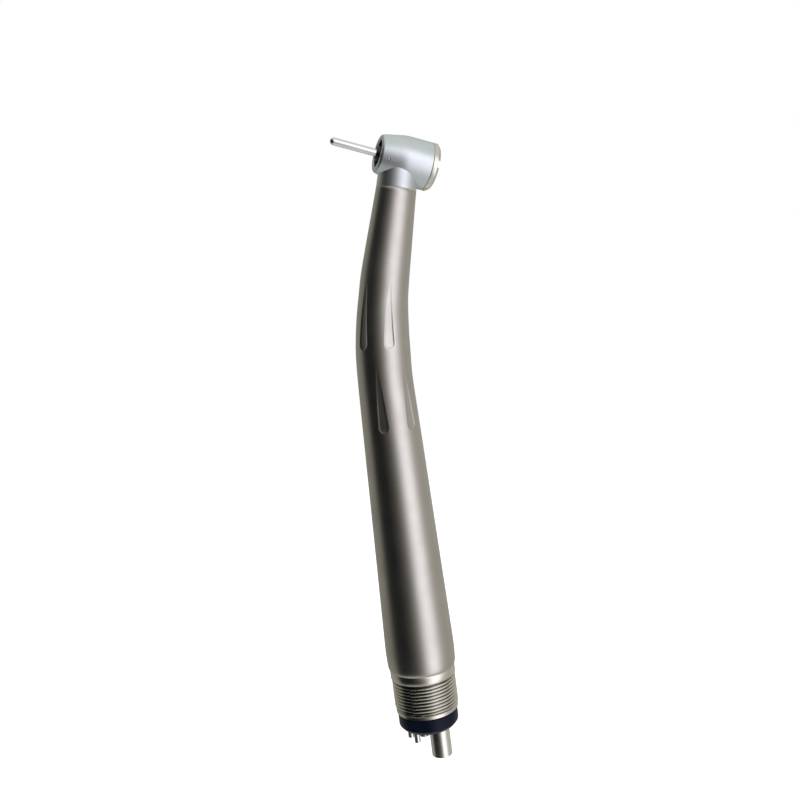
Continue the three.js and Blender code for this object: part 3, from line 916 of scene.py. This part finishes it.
def end_tree(tree, geometry, entry, leave):
    """Every tree ends with real meshes and a set material."""
    real = tree.nodes.new("GeometryNodeRealizeInstances")
    paint = tree.nodes.new("GeometryNodeSetMaterial")
    tree.links.new(geometry, real.inputs[0])
    tree.links.new(real.outputs[0], paint.inputs["Geometry"])
    tree.links.new(entry.outputs["Material"], paint.inputs["Material"])
    tree.links.new(paint.outputs[0], leave.inputs["Geometry"])


def ball_tree():
    """Geometry nodes: balls spaced evenly around a ring."""
    tree = bpy.data.node_groups.new("Ring of balls", "GeometryNodeTree")
    count = tree.interface.new_socket(name="Count", in_out="INPUT", socket_type="NodeSocketInt")
    count.default_value = 7
    for label, default in (("Ring Radius", 2.175 * MM), ("Ball Radius", 0.3 * MM)):
        socket = tree.interface.new_socket(name=label, in_out="INPUT", socket_type="NodeSocketFloat")
        socket.default_value = default
    tree.interface.new_socket(name="Material", in_out="INPUT", socket_type="NodeSocketMaterial")
    tree.interface.new_socket(name="Geometry", in_out="OUTPUT", socket_type="NodeSocketGeometry")
    entry = tree.nodes.new("NodeGroupInput")
    leave = tree.nodes.new("NodeGroupOutput")
    circle = tree.nodes.new("GeometryNodeMeshCircle")
    tree.links.new(entry.outputs["Count"], circle.inputs["Vertices"])
    tree.links.new(entry.outputs["Ring Radius"], circle.inputs["Radius"])
    ball = tree.nodes.new("GeometryNodeMeshUVSphere")
    ball.inputs["Segments"].default_value = 24
    ball.inputs["Rings"].default_value = 16
    tree.links.new(entry.outputs["Ball Radius"], ball.inputs["Radius"])
    copies = tree.nodes.new("GeometryNodeInstanceOnPoints")
    tree.links.new(circle.outputs[0], copies.inputs["Points"])
    tree.links.new(ball.outputs["Mesh"], copies.inputs["Instance"])
    end_tree(tree, copies.outputs[0], entry, leave)
    return tree


def grow(name, tree, values, height):
    """Runs a geometry tree on the rotor axis at a height and gives a plain mesh object."""
    obj = bpy.data.objects.new(name, bpy.data.meshes.new(name))
    bpy.context.scene.collection.objects.link(obj)
    modifier = obj.modifiers.new("grow", "NODES")
    modifier.node_group = tree
    for item in tree.interface.items_tree:
        if item.in_out == "INPUT" and item.name in values:
            modifier[item.identifier] = values[item.name]
    bake(obj)
    place = Matrix.Translation(HEAD) @ AXIS_TURN @ Matrix.Translation((0, 0, height))
    obj.data.transform(place)
    finish_mesh(obj.data, 50)
    return obj


class HANDPIECE_OT_spring(bpy.types.Operator):
    """Builds the button's return spring"""

    bl_idname = "handpiece.spring"
    bl_label = "Button spring"

    def execute(self, context):
        paint = looks("spring_steel")
        turns = context.scene.handpiece_sizes.spring_turns
        values = {
            "Turns": turns, "Radius": SPRING_R, "Height": SPRING_HEIGHT,
            "Wire Radius": SPRING_WIRE_R, "Material": paint,
        }
        obj = grow("spring_wire", spring_tree(), values, -6.08 * MM)
        finish_piece(obj, "handle", ["button_spring"], paint)
        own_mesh(obj)
        return {"FINISHED"}


class HANDPIECE_OT_bearings(bpy.types.Operator):
    """Builds the cages and balls of both bearings"""

    bl_idname = "handpiece.bearings"
    bl_label = "Ball cages"

    def execute(self, context):
        tree = ball_tree()
        steel = looks("race_steel")
        for side, low in (("front", 1.7), ("rear", -4.3)):
            node = side + "_ball_cage"
            middle = low + 1.2
            ring = [(2.02, middle - 0.5), (2.33, middle - 0.5), (2.33, middle + 0.5), (2.02, middle + 0.5)]
            verts, faces = turned_mm(ring, 0.06, True, 72)
            cage = make_object(side + "_cage_ring", on_axis(verts), faces)
            finish_piece(cage, side + "_cage", [node], looks("cage_resin"))
            balls = grow(side + "_balls", tree, {"Count": 7, "Material": steel}, middle * MM)
            finish_piece(balls, side + "_cage", [node], steel)
        return {"FINISHED"}


class HANDPIECE_OT_inner(bpy.types.Operator):
    """Paints the CAD pieces that keep their own shape"""

    bl_idname = "handpiece.inner"
    bl_label = "Inner pieces"

    def execute(self, context):
        slots = {s["node"]: s["material_slot"] for s in frame["record"]["subparts"]}
        on_rotor = ("spindle", "impeller", "front_inner_race", "rear_inner_race",
                    "front_outer_race", "rear_outer_race")
        for name, node in frame["nodes"].items():
            if node.hide_render:
                continue
            node.data.materials.clear()
            # The front shield takes a near-black finish, painted shade inside the head's opening, in place
            # of its own slot.
            finish = "shield_black" if name == "front_shield" else slots[name]
            node.data.materials.append(looks(finish, name in on_rotor))
        return {"FINISHED"}


class HANDPIECE_OT_stage(bpy.types.Operator):
    """Sets the floor, the backdrop, the light and the camera"""

    bl_idname = "handpiece.stage"
    bl_label = "Stage"

    def execute(self, context):
        colour = tuple(context.scene.handpiece_finish.backdrop_colour)
        second = darker(colour, 0.98)
        paint = surface("stage_paper", colour, second, 0.9, 0.05, 0.0, ("grain", 300.0, 0.02))
        floor_z = CAD_BOX[0].z - 0.025
        half = 0.45
        corners = [(x * half, y * half, floor_z) for x, y in ((-1, -1), (1, -1), (1, 1), (-1, 1))]
        floor = make_object("floor", corners, [(0, 1, 2, 3)])
        floor.data.materials.append(paint)
        floor.visible_glossy = False
        context.scene.view_settings.view_transform = "Standard"
        self.light_world(context.scene)
        lamp = self.add_area("overhead", (0.1, -0.1, 0.9), (0, 0, 0.05), 0.9, 11.0, False)
        paper = bpy.data.collections.new("paper")
        paper.objects.link(floor)
        lamp.light_linking.receiver_collection = paper
        self.add_camera(context.scene)
        return {"FINISHED"}

    @staticmethod
    def add_area(name, place, target, size, power, glossy):
        """A square soft light that looks at a point."""
        light = bpy.data.lights.new(name, "AREA")
        light.size = size
        light.energy = power
        obj = bpy.data.objects.new(name, light)
        obj.location = place
        obj.rotation_euler = (Vector(target) - Vector(place)).to_track_quat("-Z", "Y").to_euler()
        obj.visible_glossy = glossy
        bpy.context.scene.collection.objects.link(obj)
        return obj

    @staticmethod
    def add_camera(scene):
        """A camera close to the handle, a little to the bur's side."""
        right, down, ahead = camera_rows()
        camera = bpy.data.cameras.new("camera")
        camera.lens = 42.54
        camera.sensor_width = 36
        camera.shift_x = 0.001
        camera.shift_y = -0.0458
        camera.clip_start = 0.01
        obj = bpy.data.objects.new("camera", camera)
        turn = Matrix((right, -down, -ahead)).transposed().to_4x4()
        obj.matrix_world = Matrix.Translation((-0.04921, -0.19072, 0.09306)) @ turn
        scene.collection.objects.link(obj)
        scene.camera = obj

    @staticmethod
    def light_world(scene):
        """A soft room: a dark side, a bright window, grey walls and a bright ceiling."""
        world = bpy.data.worlds.new("room")
        scene.world = world
        world.use_nodes = True
        tree = world.node_tree
        back = tree.nodes["Background"]
        coords = tree.nodes.new("ShaderNodeTexCoord")
        direction = coords.outputs["Generated"]
        right, down, ahead = camera_rows()

        def along(vector):
            node = tree.nodes.new("ShaderNodeVectorMath")
            node.operation = "DOT_PRODUCT"
            node.inputs[1].default_value = vector
            tree.links.new(direction, node.inputs[0])
            return node.outputs["Value"]

        level_right = Vector((right.x, right.y, 0)).normalized()
        level_back = -Vector((ahead.x, ahead.y, 0)).normalized()
        height = along((0, 0, 1))
        angle = math_node(tree, "ARCTAN2", along(level_right), along(level_back))
        above = math_node(tree, "MAXIMUM", height, 0.0)
        turn = math_node(tree, "ADD", math_node(tree, "DIVIDE", angle, TAU), 0.5)
        turn = math_node(tree, "ADD", turn, math_node(tree, "MULTIPLY", above, 0.08))
        ramp = tree.nodes.new("ShaderNodeValToRGB")
        tree.links.new(turn, ramp.inputs[0])
        elements = ramp.color_ramp.elements
        while len(elements) > 1:
            elements.remove(elements[-1])
        elements[0].position = 0.0
        elements[0].color = (*ROOM_STOPS[0][1], 1)
        for degrees, colour in ROOM_STOPS[1:]:
            stop = elements.new((degrees + 180) / 360)
            stop.color = (*colour, 1)
        leftward = math_node(tree, "MINIMUM", along(level_right), 0.0)
        shaded = math_node(tree, "ADD", height, math_node(tree, "MULTIPLY", leftward, 0.5))
        up = tree.nodes.new("ShaderNodeMapRange")
        up.inputs["From Min"].default_value = 0.40
        up.inputs["From Max"].default_value = 0.78
        tree.links.new(shaded, up.inputs["Value"])
        sky = tree.nodes.new("ShaderNodeMix")
        sky.data_type = "RGBA"
        tree.links.new(up.outputs[0], sky.inputs["Factor"])
        tree.links.new(ramp.outputs[0], sky.inputs[6])
        sky.inputs[7].default_value = (0.66, 0.69, 0.66, 1)
        low = tree.nodes.new("ShaderNodeMapRange")
        low.inputs["From Min"].default_value = -0.62
        low.inputs["From Max"].default_value = -0.92
        tree.links.new(height, low.inputs["Value"])
        ground = tree.nodes.new("ShaderNodeMix")
        ground.data_type = "RGBA"
        tree.links.new(low.outputs[0], ground.inputs["Factor"])
        tree.links.new(sky.outputs[2], ground.inputs[6])
        ground.inputs[7].default_value = (0.62, 0.64, 0.62, 1)
        path = tree.nodes.new("ShaderNodeLightPath")
        seen = tree.nodes.new("ShaderNodeMix")
        seen.data_type = "RGBA"
        tree.links.new(path.outputs["Is Camera Ray"], seen.inputs["Factor"])
        tree.links.new(ground.outputs[2], seen.inputs[6])
        seen.inputs[7].default_value = (1.0, 1.0, 1.0, 1)
        tree.links.new(seen.outputs[2], back.inputs["Color"])


def camera_rows():
    """The camera's right, down and forward directions in the row frame."""
    tilt, swing, roll = (math.radians(v) for v in (2.32, -8.18, 15.55))
    turn = Matrix.Rotation(roll, 3, "Z") @ Matrix.Rotation(swing, 3, "Y") @ Matrix.Rotation(tilt, 3, "X")
    return turn.row[0], -turn.row[2], turn.row[1]


class HANDPIECE_PT_panel(bpy.types.Panel):
    """Lists the sizes, the finishes and the pieces"""

    bl_idname = "HANDPIECE_PT_panel"
    bl_label = "Handpiece"
    bl_space_type = "VIEW_3D"
    bl_region_type = "UI"
    bl_category = "Handpiece"

    def draw(self, context):
        layout = self.layout
        for group in (context.scene.handpiece_sizes, context.scene.handpiece_finish):
            for key in type(group).__annotations__:
                layout.prop(group, key)
        for operator in PIECES:
            layout.operator(operator.bl_idname)


PIECES = (
    HANDPIECE_OT_handle, HANDPIECE_OT_head, HANDPIECE_OT_plug, HANDPIECE_OT_cap, HANDPIECE_OT_button,
    HANDPIECE_OT_chuck, HANDPIECE_OT_coupling, HANDPIECE_OT_tubes, HANDPIECE_OT_spring,
    HANDPIECE_OT_bearings, HANDPIECE_OT_inner, HANDPIECE_OT_stage,
)
CLASSES = (HandpieceSizes, HandpieceFinish, *PIECES, HANDPIECE_PT_panel)


def register():
    """Registers the classes and hangs the settings on the scene."""
    for cls in CLASSES:
        bpy.utils.register_class(cls)
    bpy.types.Scene.handpiece_sizes = bpy.props.PointerProperty(type=HandpieceSizes)
    bpy.types.Scene.handpiece_finish = bpy.props.PointerProperty(type=HandpieceFinish)


def unregister():
    """Takes the settings and the classes away again."""
    del bpy.types.Scene.handpiece_finish
    del bpy.types.Scene.handpiece_sizes
    for cls in reversed(CLASSES):
        bpy.utils.unregister_class(cls)


def main():
    """Builds every piece in order."""
    register()
    bpy.ops.handpiece.handle()
    bpy.ops.handpiece.head()
    bpy.ops.handpiece.plug()
    bpy.ops.handpiece.cap()
    bpy.ops.handpiece.button()
    bpy.ops.handpiece.chuck()
    bpy.ops.handpiece.coupling()
    bpy.ops.handpiece.tubes()
    bpy.ops.handpiece.spring()
    bpy.ops.handpiece.bearings()
    bpy.ops.handpiece.inner()
    bpy.ops.handpiece.stage()


if __name__ == "__main__":
    main()
